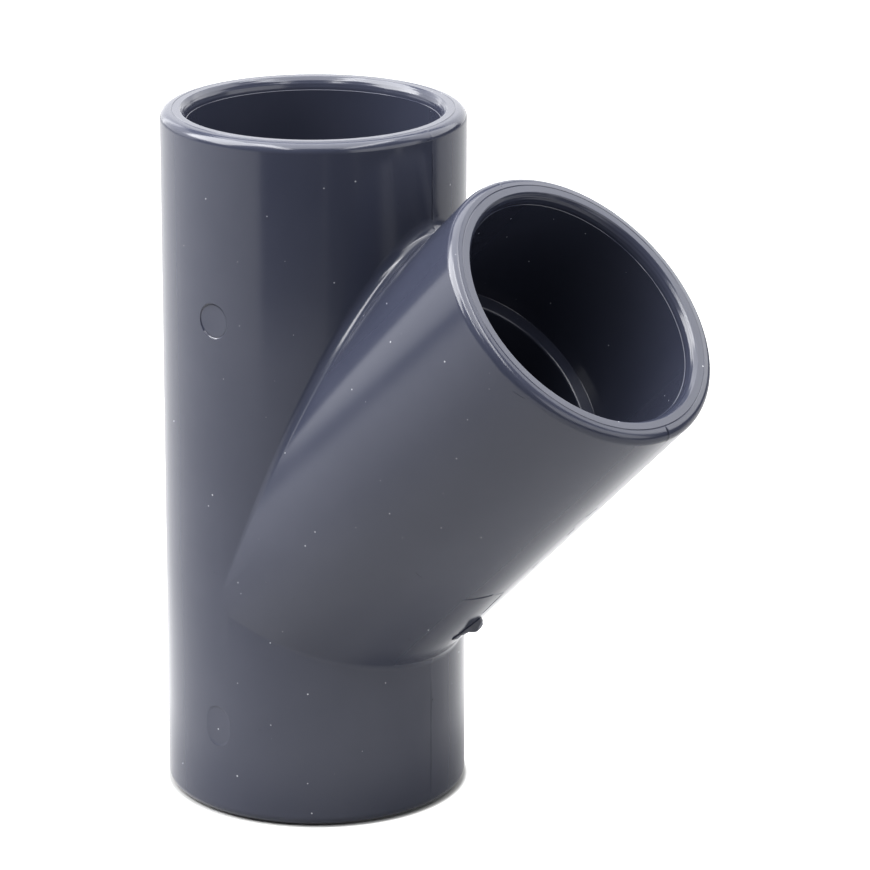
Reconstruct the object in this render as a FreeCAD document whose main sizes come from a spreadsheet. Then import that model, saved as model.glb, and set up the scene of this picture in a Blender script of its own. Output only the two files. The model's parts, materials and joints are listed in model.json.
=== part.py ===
import FreeCAD, Part
import math
import os
import Sketcher

# Lateral wye fitting for solvent-welded pressure pipe, moulded in one piece.
# The run stands upright on its lower rim, centred on the Z axis, and the branch
# leaves it towards +X at forty-five degrees. All three mouths are plain pipe sockets.

NODE = "wye_body"

# Driving dimensions in millimetres, and the branch's angle in degrees
SIZES = (
    ("pipe_diameter", "60.3", "outside of the two inch pipe that the sockets take"),
    ("socket_clearance", "0.1", "how much wider than the pipe a socket is"),
    ("socket_wall", "6.3", "wall between a socket and the outside"),
    ("socket_depth", "38", "from a rim to the shoulder that stops the pipe"),
    ("stop_step", "3.95", "how far that shoulder stands in from the socket's wall"),
    ("branch_angle", "45", "between the run's axis and the branch's"),
    ("heel_to_rim", "38.1", "straight wall from the heel down to the lower rim"),
    ("run_above_crotch", "27.6", "straight wall from the crotch up to the run's rim"),
    ("branch_above_crotch", "27.6", "straight wall from the crotch out to the branch's rim"),
    ("blend_radius", "3", "hollow radius where the two barrels meet"),
    ("branch_shy", "0.05", "how far the branch's walls lie inside the run's radii"),
    ("rim_round", "2.6", "rounding of the outer edge of each rim"),
    ("rim_edge_angle", "20", "turn left sharp at each end of that rounding, in degrees"),
    ("lead_width", "1.7", "how much wider a mouth is than its socket, on each side"),
    ("lead_depth", "3", "how far in the flared mouth becomes the socket"),
    ("stop_bevel", "0.6", "bevel on the inner edge of each pipe stop"),
    ("gate_from_heel", "8.9", "from the heel out to the broken gate"),
    ("gate_length", "12.8", "length of the broken gate along the branch"),
    ("gate_height", "2.9", "how far its highest stump stands out"),
    ("gate_width", "3.4", "width of the broken gate across the parting line"),
    ("gate_sink", "1.5", "how deep its root is merged into the wall"),
)

# Sizes that follow from them
WORKED = (
    ("socket_radius", "=(sizes.pipe_diameter + sizes.socket_clearance) / 2"),
    ("outer_radius", "=socket_radius + sizes.socket_wall"),
    ("waterway_radius", "=socket_radius - sizes.stop_step"),
    ("branch_outer_radius", "=outer_radius - sizes.branch_shy"),
    ("branch_waterway_radius", "=waterway_radius - sizes.branch_shy"),
    ("rim_reach", "=sizes.rim_round * (1 - tan(sizes.rim_edge_angle / 2))"),
    ("mouth_radius", "=socket_radius + sizes.lead_width"),
    ("heel_offset", "=outer_radius * tan(sizes.branch_angle / 2)"),
    ("crotch_offset", "=outer_radius / tan(sizes.branch_angle / 2)"),
    ("lower_leg", "=heel_offset + sizes.heel_to_rim"),
    ("run_length", "=lower_leg + crotch_offset + sizes.run_above_crotch"),
    ("branch_length", "=crotch_offset + sizes.branch_above_crotch"),
    ("branch_mouth_out", "=branch_length * sin(sizes.branch_angle)"),
    ("branch_mouth_up", "=lower_leg + branch_length * cos(sizes.branch_angle)"),
    ("gate_start", "=heel_offset + sizes.gate_from_heel"),
)

# The cutting outlines run past the rims by this much
OVERCUT = 1.0

# Corners of the flared mouth, each as a share of its width and a share of its depth
LEAD_CORNERS = ((0.47, 0.26), (0.12, 0.61))

# Corners of the broken gate, each as a share of its height and a share of its length
GATE_CORNERS = ((0.31, 0.31), (0.52, 0.56), (1.0, 0.66), (0.97, 0.8), (0.69, 0.91))

# An edge of the crossing lies on both barrels to within this
ON_BOTH = 0.01

# The sketch's own origin, as a place that a constraint can name
ORIGIN_POINT = (-1, 1)


def make_sheets(doc):
    """Write the driving dimensions, and beside them the sizes worked out from them."""
    sizes = doc.addObject("Spreadsheet::Sheet", "sizes")
    for row, (alias, value, note) in enumerate(SIZES, 1):
        sizes.set(f"A{row}", alias)
        sizes.set(f"B{row}", value)
        sizes.set(f"C{row}", note)
        sizes.setAlias(f"B{row}", alias)
    doc.recompute()
    worked = doc.addObject("Spreadsheet::Sheet", "worked")
    for row, (alias, formula) in enumerate(WORKED, 1):
        worked.set(f"A{row}", alias)
        worked.set(f"B{row}", formula)
        worked.setAlias(f"B{row}", alias)
        doc.recompute()
    values = {alias: float(sizes.get(alias)) for alias, _, _ in SIZES}
    values.update({alias: float(worked.get(alias)) for alias, _ in WORKED})
    return values


def new_sketch(body, name, placed=None):
    """Lay a sketch in the plane of symmetry, moved and turned in it by the given formulas."""
    plane = [item for item in body.Origin.OriginFeatures if item.Role == "XZ_Plane"][0]
    sketch = body.newObject("Sketcher::SketchObject", name)
    sketch.AttachmentSupport = (plane, [""])
    sketch.MapMode = "FlatFace"
    if placed:
        across, along, turned = placed
        about_normal = FreeCAD.Rotation(FreeCAD.Vector(0, 0, 1), 1)
        sketch.AttachmentOffset = FreeCAD.Placement(FreeCAD.Vector(), about_normal)
        sketch.setExpression("AttachmentOffset.Base.x", across)
        sketch.setExpression("AttachmentOffset.Base.y", along)
        sketch.setExpression("AttachmentOffset.Rotation.Angle", turned)
    return sketch


class Outline:
    """A closed outline, drawn piece by piece from its first corner.

    Across the sketch is the distance from a barrel's axis, and up it is along the axis.
    """

    def __init__(self, sketch, corner):
        self.sketch = sketch
        self.corner = corner
        self.first = None
        self.last = None

    def join(self, start, smooth):
        """Join a piece's start to the piece before, running smoothly on where asked."""
        if self.last is None:
            self.first = start
            return
        kind = "Tangent" if smooth else "Coincident"
        self.sketch.addConstraint(Sketcher.Constraint(kind, *self.last, *start))

    def line(self, corner, way=None, smooth=False):
        """Draw a straight piece to the next corner, and give back its number."""
        ends = (FreeCAD.Vector(*self.corner, 0), FreeCAD.Vector(*corner, 0))
        index = self.sketch.addGeometry(Part.LineSegment(*ends), False)
        self.join((index, 1), smooth)
        if way:
            self.sketch.addConstraint(Sketcher.Constraint(way, index))
        self.corner, self.last = corner, (index, 2)
        return index

    def arc(self, corner, centre, radius, smooth=False):
        """Draw a round piece to the next corner, the short way about its centre."""
        turns = [math.atan2(y - centre[1], x - centre[0]) for x, y in (self.corner, corner)]
        forward = (turns[1] - turns[0]) % math.tau < math.pi
        if not forward:
            turns.reverse()
        circle = Part.Circle(FreeCAD.Vector(*centre, 0), FreeCAD.Vector(0, 0, 1), radius)
        index = self.sketch.addGeometry(Part.ArcOfCircle(circle, *turns), False)
        self.join((index, 1 if forward else 2), smooth)
        self.corner, self.last = corner, (index, 2 if forward else 1)
        return index

    def close(self, at_origin=True):
        """Join the last piece to the first, whose corner is the sketch's origin where asked."""
        self.sketch.addConstraint(Sketcher.Constraint("Coincident", *self.last, *self.first))
        if at_origin:
            places = (*self.first, *ORIGIN_POINT)
            self.sketch.addConstraint(Sketcher.Constraint("Coincident", *places))

    def hold(self, kind, places, value, name, formula):
        """Give the outline one size and bind it to the sheets."""
        index = self.sketch.addConstraint(Sketcher.Constraint(kind, *places, value))
        self.sketch.renameConstraint(index, name)
        self.sketch.setExpression(f"Constraints.{name}", formula)

    def hold_across(self, place, name, formula):
        """Hold a place's distance from the axis."""
        value = self.sketch.getPoint(*place).x
        self.hold("DistanceX", (*ORIGIN_POINT, *place), value, name, formula)

    def hold_along(self, place, name, formula):
        """Hold a place's distance along the axis."""
        value = self.sketch.getPoint(*place).y
        self.hold("DistanceY", (*ORIGIN_POINT, *place), value, name, formula)


def turn(body, sketch, kind, name):
    """Turn a sketch about its own upright axis, to add a form or to cut one."""
    feature = body.newObject(kind, name)
    feature.Profile = sketch
    feature.ReferenceAxis = (sketch, ["V_Axis"])
    feature.Angle = 360
    body.Document.recompute()
    return feature


def round_rim(outline, name, values, radius, length=None):
    """Round a rim's outer edge, with a short flat at each end of the rounding.

    The outline goes from the face out to the wall at the lower rim, and from the wall
    back to the face at the upper one, whose length along the axis is given.
    """
    rounding, reach = values["rim_round"], values["rim_reach"]
    edge = math.radians(values["rim_edge_angle"])
    face, inwards = (values[length], -1) if length else (0, 1)
    wide = values[radius]
    centre = (wide - rounding, face + inwards * rounding)

    def on_rounding(angle):
        return (
            centre[0] + rounding * math.sin(angle),
            centre[1] - inwards * rounding * math.cos(angle),
        )

    corners = [on_rounding(edge), on_rounding(math.pi / 2 - edge), (wide, face + inwards * reach)]
    if length:
        corners = [corners[1], corners[0], (wide - reach, face)]
    outline.line(corners[0])
    arc = outline.arc(corners[1], centre, rounding, smooth=True)
    flat = outline.line(corners[2], smooth=True)
    from_base = f"worked.{length} - " if length else ""
    outline.hold("Radius", (arc,), rounding, f"{name}_round", "sizes.rim_round")
    outline.hold_across((arc, 3), f"{name}_out", f"worked.{radius} - sizes.rim_round")
    outline.hold_along((arc, 3), f"{name}_up", f"{from_base}sizes.rim_round")
    at_face, at_wall = ((flat, 2), (arc - 1, 1)) if length else ((arc - 1, 1), (flat, 2))
    outline.hold_across(at_face, f"{name}_face", f"worked.{radius} - worked.rim_reach")
    outline.hold_along(at_wall, f"{name}_wall", f"{from_base}worked.rim_reach")


def make_barrel(body, name, radius, length, values, both_rims, placed=None):
    """Turn a solid barrel along its axis, each of its rims rounded outside.

    radius and length are aliases in the sheet of worked sizes.
    """
    sketch = new_sketch(body, f"{name}_outline", placed)
    outline = Outline(sketch, (0, 0))
    wide, tall, reach = values[radius], values[length], values["rim_reach"]
    outline.line((wide - (reach if both_rims else 0), 0), "Horizontal")
    if both_rims:
        round_rim(outline, "lower_rim", values, radius)
    wall = outline.line((wide, tall - reach), "Vertical")
    round_rim(outline, "upper_rim", values, radius, length)
    top = outline.line((0, tall), "Horizontal")
    outline.line((0, 0), "Vertical")
    outline.close()
    outline.hold_across((wall, 1), "radius", f"worked.{radius}")
    outline.hold_along((top, 2), "length", f"worked.{length}")
    return turn(body, sketch, "PartDesign::Revolution", name)


def crossing_edges(shape, values):
    """Name the edges that lie on both barrels, where the blend runs."""
    tilt = math.radians(values["branch_angle"])
    start = FreeCAD.Vector(0, 0, values["lower_leg"])
    along = FreeCAD.Vector(math.sin(tilt), 0, math.cos(tilt))
    names = []
    for number, edge in enumerate(shape.Edges, 1):
        middle = edge.valueAt((edge.FirstParameter + edge.LastParameter) / 2)
        off_run = math.hypot(middle.x, middle.y) - values["outer_radius"]
        off_branch = middle.distanceToLine(start, along) - values["branch_outer_radius"]
        if max(abs(off_run), abs(off_branch)) < ON_BOTH:
            names.append(f"Edge{number}")
    return names


def make_blend(body, base, values):
    """Round the hollow where the barrels meet, from the crotch to the heel on both sides."""
    blend = body.newObject("PartDesign::Fillet", "blend")
    blend.Base = (base, crossing_edges(base.Shape, values))
    blend.setExpression("Radius", "sizes.blend_radius")
    body.Document.recompute()
    return blend


def make_waterway(body, name, radius, length, values, start, placed=None):
    """Bore a plain round passage along a barrel's axis and out past its rim."""
    sketch = new_sketch(body, f"{name}_outline", placed)
    outline = Outline(sketch, (0, start))
    wide, tall = values[radius], values[length] + OVERCUT
    outline.line((wide, start), "Horizontal")
    wall = outline.line((wide, tall), "Vertical")
    outline.line((0, tall), "Horizontal")
    outline.line((0, start), "Vertical")
    outline.close(at_origin=False)
    outline.hold_across((wall, 1), "radius", f"worked.{radius}")
    outline.hold_across(outline.first, "axis", "0")
    outline.hold_along(outline.first, "start", f"{start}")
    outline.hold_along((wall, 2), "length", f"worked.{length} + {OVERCUT}")
    return turn(body, sketch, "PartDesign::Groove", name)


def make_socket(body, name, values, placed=None):
    """Cut a pipe socket inwards from the middle of its mouth.

    It has a flared mouth, a straight wall that grips the pipe, and the shoulder
    that stops it, whose inner edge is bevelled down into the waterway.
    """
    sketch = new_sketch(body, f"{name}_outline", placed)
    outline = Outline(sketch, (0, -OVERCUT))
    mouth, socket, waterway = [values[f"{key}_radius"] for key in ("mouth", "socket", "waterway")]
    flare, lead_end = values["lead_width"], values["lead_depth"]
    deep, bevel = values["socket_depth"], values["stop_bevel"]
    over = outline.line((mouth, -OVERCUT), "Horizontal")
    throat = outline.line((mouth, 0), "Vertical")
    for number, (out, down) in enumerate(LEAD_CORNERS, 1):
        side = outline.line((socket + out * flare, down * lead_end))
        across = f"worked.socket_radius + {out} * sizes.lead_width"
        outline.hold_across((side, 2), f"lead_{number}_across", across)
        outline.hold_along((side, 2), f"lead_{number}_along", f"{down} * sizes.lead_depth")
    outline.line((socket, lead_end))
    wall = outline.line((socket, deep), "Vertical")
    outline.line((waterway + bevel, deep), "Horizontal")
    edge = outline.line((waterway, deep + bevel))
    outline.line((0, deep + bevel), "Horizontal")
    outline.line((0, -OVERCUT), "Vertical")
    outline.close(at_origin=False)
    outline.hold_across((over, 1), "axis", "0")
    outline.hold_along((over, 1), "over", f"-{OVERCUT}")
    outline.hold_across((throat, 2), "mouth_radius", "worked.mouth_radius")
    outline.hold_along((throat, 2), "face", "0")
    outline.hold_across((wall, 1), "socket_radius", "worked.socket_radius")
    outline.hold_along((wall, 1), "lead_depth", "sizes.lead_depth")
    outline.hold_across((edge, 1), "bevel_across", "worked.waterway_radius + sizes.stop_bevel")
    outline.hold_along((edge, 1), "socket_depth", "sizes.socket_depth")
    outline.hold_across((edge, 2), "waterway_radius", "worked.waterway_radius")
    outline.hold_along((edge, 2), "bevel_along", "sizes.socket_depth + sizes.stop_bevel")
    return turn(body, sketch, "PartDesign::Groove", name)


def make_gate(body, values, placed):
    """Leave the stump where the moulding was broken off its runner, under the branch."""
    sketch = new_sketch(body, "gate_outline", placed)
    wall, start = values["branch_outer_radius"], values["gate_start"]
    high, long = values["gate_height"], values["gate_length"]
    root = -values["gate_sink"]
    places = [(wall + root, start)]
    formulas = [("worked.branch_outer_radius - sizes.gate_sink", "worked.gate_start")]
    for up, out in GATE_CORNERS:
        places.append((wall + up * high, start + out * long))
        across = f"worked.branch_outer_radius + {up} * sizes.gate_height"
        formulas.append((across, f"worked.gate_start + {out} * sizes.gate_length"))
    places.append((wall + root, start + long))
    end_along = "worked.gate_start + sizes.gate_length"
    formulas.append((formulas[0][0], end_along))
    outline = Outline(sketch, places[0])
    sides = [outline.line(place) for place in places[1:] + places[:1]]
    outline.close(at_origin=False)
    for number, (side, (across, along)) in enumerate(zip(sides, formulas), 1):
        outline.hold_across((side, 1), f"corner_{number}_across", across)
        outline.hold_along((side, 1), f"corner_{number}_along", along)
    gate = body.newObject("PartDesign::Pad", "broken_gate")
    gate.Profile = sketch
    gate.SideType = "Symmetric"
    gate.setExpression("Length", "sizes.gate_width")
    body.Document.recompute()
    return gate


def make_wye(doc, values):
    """Build the moulding: two barrels, their blend, the waterways, the sockets and the gate."""
    body = doc.addObject("PartDesign::Body", NODE)
    body.Label = NODE
    along_branch = ("0", "worked.lower_leg", "-sizes.branch_angle")
    at_run_top = ("0", "worked.run_length", "180")
    at_branch_mouth = ("worked.branch_mouth_out", "worked.branch_mouth_up", "180 - sizes.branch_angle")
    make_barrel(body, "run_barrel", "outer_radius", "run_length", values, True)
    branch = make_barrel(
        body, "branch_barrel", "branch_outer_radius", "branch_length", values, False, along_branch
    )
    make_blend(body, branch, values)
    make_waterway(body, "run_waterway", "waterway_radius", "run_length", values, -OVERCUT)
    make_waterway(
        body, "branch_waterway", "branch_waterway_radius", "branch_length", values, 0, along_branch
    )
    make_socket(body, "lower_socket", values)
    make_socket(body, "upper_socket", values, at_run_top)
    make_socket(body, "branch_socket", values, at_branch_mouth)
    body.Tip = make_gate(body, values, along_branch)
    doc.recompute()
    return body


def check(doc, body):
    """Stop if an object has failed or the moulding isn't one sound solid."""
    failed = [item.Name for item in doc.Objects if {"Invalid", "Error"} & set(item.State)]
    if failed:
        raise RuntimeError(f"these objects failed: {failed}")
    shape = body.Shape
    if shape.isNull() or not shape.isValid() or len(shape.Solids) != 1:
        raise RuntimeError("the moulding is not one valid solid")
    volume = 0.0
    for feature in body.Group:
        if feature.isDerivedFrom("PartDesign::Feature"):
            change = feature.Shape.Volume - volume
            cuts = feature.isDerivedFrom("PartDesign::Groove")
            if change * (-1 if cuts else 1) <= 0:
                raise RuntimeError(f"{feature.Name} changes the volume by {change:.1f}")
            volume = feature.Shape.Volume
            print(f"{feature.Name}: {volume:.0f} cubic mm")


def main():
    """Build the fitting and write its file."""
    doc = FreeCAD.newDocument("lateral_wye")
    values = make_sheets(doc)
    body = make_wye(doc, values)
    check(doc, body)
    os.makedirs("parts", exist_ok=True)
    body.Shape.exportStep(f"parts/{body.Label}.step")
    for alias, _ in WORKED:
        print(f"{alias}: {values[alias]:.3f}")


main()
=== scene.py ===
import json
import logging
import math
from dataclasses import dataclass, field
from enum import Enum
from typing import Any, Callable, Iterable, Sequence

import bmesh
import bpy
import numpy as np
from mathutils import Matrix, Quaternion, Vector

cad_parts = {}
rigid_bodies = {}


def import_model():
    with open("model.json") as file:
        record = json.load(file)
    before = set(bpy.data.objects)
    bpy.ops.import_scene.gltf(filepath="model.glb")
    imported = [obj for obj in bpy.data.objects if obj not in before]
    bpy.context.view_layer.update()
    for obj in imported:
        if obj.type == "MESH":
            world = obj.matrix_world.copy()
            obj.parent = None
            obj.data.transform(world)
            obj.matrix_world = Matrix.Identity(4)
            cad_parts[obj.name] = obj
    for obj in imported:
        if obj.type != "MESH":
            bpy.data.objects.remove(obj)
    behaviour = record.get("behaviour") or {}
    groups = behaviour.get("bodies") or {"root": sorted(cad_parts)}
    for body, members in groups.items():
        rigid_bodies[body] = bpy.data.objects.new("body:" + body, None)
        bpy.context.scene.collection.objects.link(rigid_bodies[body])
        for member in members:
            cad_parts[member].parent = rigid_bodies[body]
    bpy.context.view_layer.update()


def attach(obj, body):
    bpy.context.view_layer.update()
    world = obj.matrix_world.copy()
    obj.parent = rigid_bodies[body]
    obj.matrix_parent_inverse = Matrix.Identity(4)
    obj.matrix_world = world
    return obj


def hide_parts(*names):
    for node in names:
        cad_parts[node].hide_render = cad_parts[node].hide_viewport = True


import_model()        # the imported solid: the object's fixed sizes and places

LOG = logging.getLogger("wye")

# Everything below is measured in millimetres and made in metres
MM = 0.001

# Loose ends that meet to within this, in millimetres, are joined
JOINED = 0.004

# Upwards
UP = Vector((0.0, 0.0, 1.0))

# Short names for the types that recur: two, three or four numbers, an object, a node's inputs
Two = tuple[float, float]
Three = tuple[float, float, float]
Four = tuple[float, float, float, float]
Piece = bpy.types.Object
Inputs = dict[Any, Any]


class Leg(Enum):
    """The two straight legs of the fitting."""

    RUN = "run"
    BRANCH = "branch"


@dataclass(frozen=True)
class Fitting:
    """The fitting's main sizes, in millimetres and degrees."""

    outer_radius: float = 36.45
    socket_radius: float = 30.2
    waterway_radius: float = 26.22
    run_length: float = 168.938
    crossing_height: float = 53.219
    branch_length: float = 115.59
    branch_angle: float = 45.0
    socket_depth: float = 38.0
    blend_radius: float = 3.0

    @property
    def branch_axis(self) -> Vector:
        """The way that the branch points."""
        tilt = math.radians(self.branch_angle)
        return Vector((math.sin(tilt), 0.0, math.cos(tilt)))

    @property
    def branch_upward(self) -> Vector:
        """The way square to the branch, towards the crotch."""
        tilt = math.radians(self.branch_angle)
        return Vector((-math.cos(tilt), 0.0, math.sin(tilt)))

    def on_branch(self, along: float, turn: float, proud: float = 0.0) -> Vector:
        """Give a place on the branch's outside.

        Args:
            along: distance from the crossing of the axes, in millimetres.
            turn: degrees round from the crotch side, by way of the near side.
            proud: distance outside the surface, in millimetres.

        Returns:
            The place, in millimetres.
        """
        angle = math.radians(turn)
        out = self.branch_upward * math.cos(angle) + Vector((0.0, -1.0, 0.0)) * math.sin(angle)
        start = Vector((0.0, 0.0, self.crossing_height))
        return start + self.branch_axis * along + out * (self.outer_radius + proud)

    def on_run(self, height: float, turn: float, proud: float = 0.0) -> Vector:
        """Give a place on the run's outside, in millimetres.

        Args:
            height: height above the standing rim, in millimetres.
            turn: degrees round from the branch's side, seen from above.
            proud: distance outside the surface, in millimetres.

        Returns:
            The place, in millimetres.
        """
        angle = math.radians(turn)
        reach = self.outer_radius + proud
        return Vector((reach * math.cos(angle), reach * math.sin(angle), height))


SIZES = Fitting()


def clear_selection() -> None:
    """Go to object mode with nothing selected."""
    if bpy.context.mode != "OBJECT":
        bpy.ops.object.mode_set(mode="OBJECT")
    bpy.ops.object.select_all(action="DESELECT")


def make_active(piece: Piece) -> None:
    """Select one object alone and make it active."""
    clear_selection()
    piece.select_set(True)
    bpy.context.view_layer.objects.active = piece


def start_edit(piece: Piece, mode: str = "VERT") -> None:
    """Open one object in edit mode with nothing in it selected."""
    make_active(piece)
    bpy.ops.object.mode_set(mode="EDIT")
    bpy.ops.mesh.select_mode(type=mode)
    bpy.ops.mesh.select_all(action="DESELECT")


def end_edit() -> None:
    """Go back to object mode."""
    bpy.ops.object.mode_set(mode="OBJECT")


def pick_all() -> None:
    """Select the whole mesh in edit mode."""
    bpy.ops.mesh.select_all(action="SELECT")


def turn_outwards() -> None:
    """Turn every face outwards."""
    pick_all()
    bpy.ops.mesh.normals_make_consistent(inside=False)


def extrude(rise: Sequence[float]) -> None:
    """Extrude what is selected and move it, in metres."""
    bpy.ops.mesh.extrude_region_move(TRANSFORM_OT_translate={"value": rise})


def shift(step: Sequence[float]) -> None:
    """Move what is selected, in metres."""
    bpy.ops.transform.translate(value=step)


def resize(scale: Sequence[float], centre: Sequence[float]) -> None:
    """Resize what is selected about a place, in metres."""
    bpy.ops.transform.resize(value=scale, center_override=centre)


def bisect(place: Sequence[float], normal: Sequence[float]) -> None:
    """Divide what is selected along a plane, and join to it only what lies on it."""
    bpy.ops.mesh.bisect(plane_co=place, plane_no=normal, threshold=1e-7)


def pick(piece: Piece, part: str, wanted: Callable[[Any], bool]) -> int:
    """Select in edit mode the parts of a mesh that a test wants.

    Args:
        piece: the object that is open in edit mode.
        part: "verts", "edges" or "faces".
        wanted: the test, given each part in turn.

    Returns:
        How many parts are selected.
    """
    mesh = bmesh.from_edit_mesh(piece.data)
    count = 0
    for item in getattr(mesh, part):
        chosen = wanted(item)
        item.select_set(chosen)
        count += chosen
    mesh.select_flush_mode()
    bmesh.update_edit_mesh(piece.data)
    return count


def apply_modifier(piece: Piece, kind: str, **settings: Any) -> None:
    """Give an object a modifier and apply it.

    Args:
        piece: the object.
        kind: the modifier's type.
        **settings: the modifier's properties.
    """
    make_active(piece)
    modifier = piece.modifiers.new(kind.lower(), kind)
    for name, value in settings.items():
        setattr(modifier, name, value)
    bpy.ops.object.modifier_apply(modifier=modifier.name)


def settle(piece: Piece) -> None:
    """Put an object's place, turn and size into its mesh."""
    make_active(piece)
    bpy.ops.object.transform_apply(location=True, rotation=True, scale=True)


def join(first: Piece, others: Iterable[Piece]) -> Piece:
    """Join objects into the first one and give it back."""
    make_active(first)
    for other in others:
        other.select_set(True)
    bpy.ops.object.join()
    return first


def cut(piece: Piece, tool: Piece, operation: str = "DIFFERENCE") -> None:
    """Cut, join or keep a piece by a tool's shape, and throw the tool away.

    Args:
        piece: the object that is changed.
        tool: the object that changes it.
        operation: the boolean modifier's operation.
    """
    apply_modifier(piece, "BOOLEAN", object=tool, operation=operation, solver="EXACT")
    bpy.data.meshes.remove(tool.data)


@dataclass(frozen=True)
class Mouth:
    """The socket mouth that all three ends share, in millimetres.

    The joint of two mould parts leaves a fine groove round the rim's face, and the flared
    lead-in ends in a small step at the socket's wall.
    """

    set_back: float = 0.03
    joint_radius: float = 33.6
    joint_half_width: float = 0.15
    joint_depth: float = 0.12
    rim_slope: float = 0.07
    rim_round: float = 2.3
    lip_round: float = 0.16
    lead_round: float = 3.9
    lead_depth: float = 3.0
    lead_step: float = 0.14
    lead_stops: tuple[float, ...] = (6.0, 21.5, 34.0, 45.0)
    tool_marks: tuple[float, ...] = (15.0, 28.0, 40.0)
    mark_depth: float = 0.03
    mark_half_turn: float = 2.2
    shoulder_bevel: float = 0.6

    def outline(self) -> list[Two]:
        """Give the section from the waterway, over the rim, to the outer wall.

        Returns:
            Places as distance from the axis and depth below the rim's plane.
        """
        socket, wall = SIZES.socket_radius, SIZES.outer_radius
        water, deep = SIZES.waterway_radius, SIZES.socket_depth
        bevel = self.shoulder_bevel
        places = [(water, deep + bevel + 0.12)]
        for step in range(5):
            turn = math.radians(22.5 * step)
            out = water + bevel * (1 - math.cos(turn))
            places.append((out, deep + bevel * (1 - math.sin(turn))))
        places += [(socket - 0.3, deep), (socket - 0.09, deep - 0.03), (socket, deep - 0.12)]
        places += self.lead_in(socket)
        face, ring, half = self.set_back, self.joint_radius, self.joint_half_width
        places += [(ring - half, face), (ring, face + self.joint_depth)]
        places.append((ring + half, face + 0.01))
        centre, edge = wall - self.rim_round, face + self.rim_slope
        for turn in map(math.radians, range(0, 91, 9)):
            out = centre + self.rim_round * math.sin(turn)
            places.append((out, edge + self.rim_round * (1 - math.cos(turn))))
        return places

    def lead_in(self, socket: float) -> list[Two]:
        """Give the flared mouth with its fine tool marks and its softened lip.

        Args:
            socket: the socket's radius, in millimetres.

        Returns:
            Places as distance from the axis and depth below the rim's plane.
        """
        bottom = self.lead_depth + self.set_back
        reach = math.degrees(math.asin((self.lead_depth - self.lip_round * 0.5) / self.lead_round))
        start = socket + self.lead_step
        stops = [0.0]
        for mark in self.tool_marks:
            stops += [mark - self.mark_half_turn, mark, mark + self.mark_half_turn]
        stops += [*self.lead_stops, reach]
        places = [(socket, bottom + 0.5), (socket, bottom + 0.12), (start, bottom + 0.02)]
        for stop in sorted(stops):
            turn = math.radians(stop)
            sunk = self.mark_depth if stop in self.tool_marks else 0.0
            radius = self.lead_round - sunk
            out = start + self.lead_round - radius * math.cos(turn)
            places.append((out, bottom - radius * math.sin(turn)))
        edge = places[-1][0]
        places += [
            (edge + self.lip_round * 0.45, self.set_back + self.lip_round * 0.12),
            (edge + self.lip_round * 1.1, self.set_back),
        ]
        return places


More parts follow.
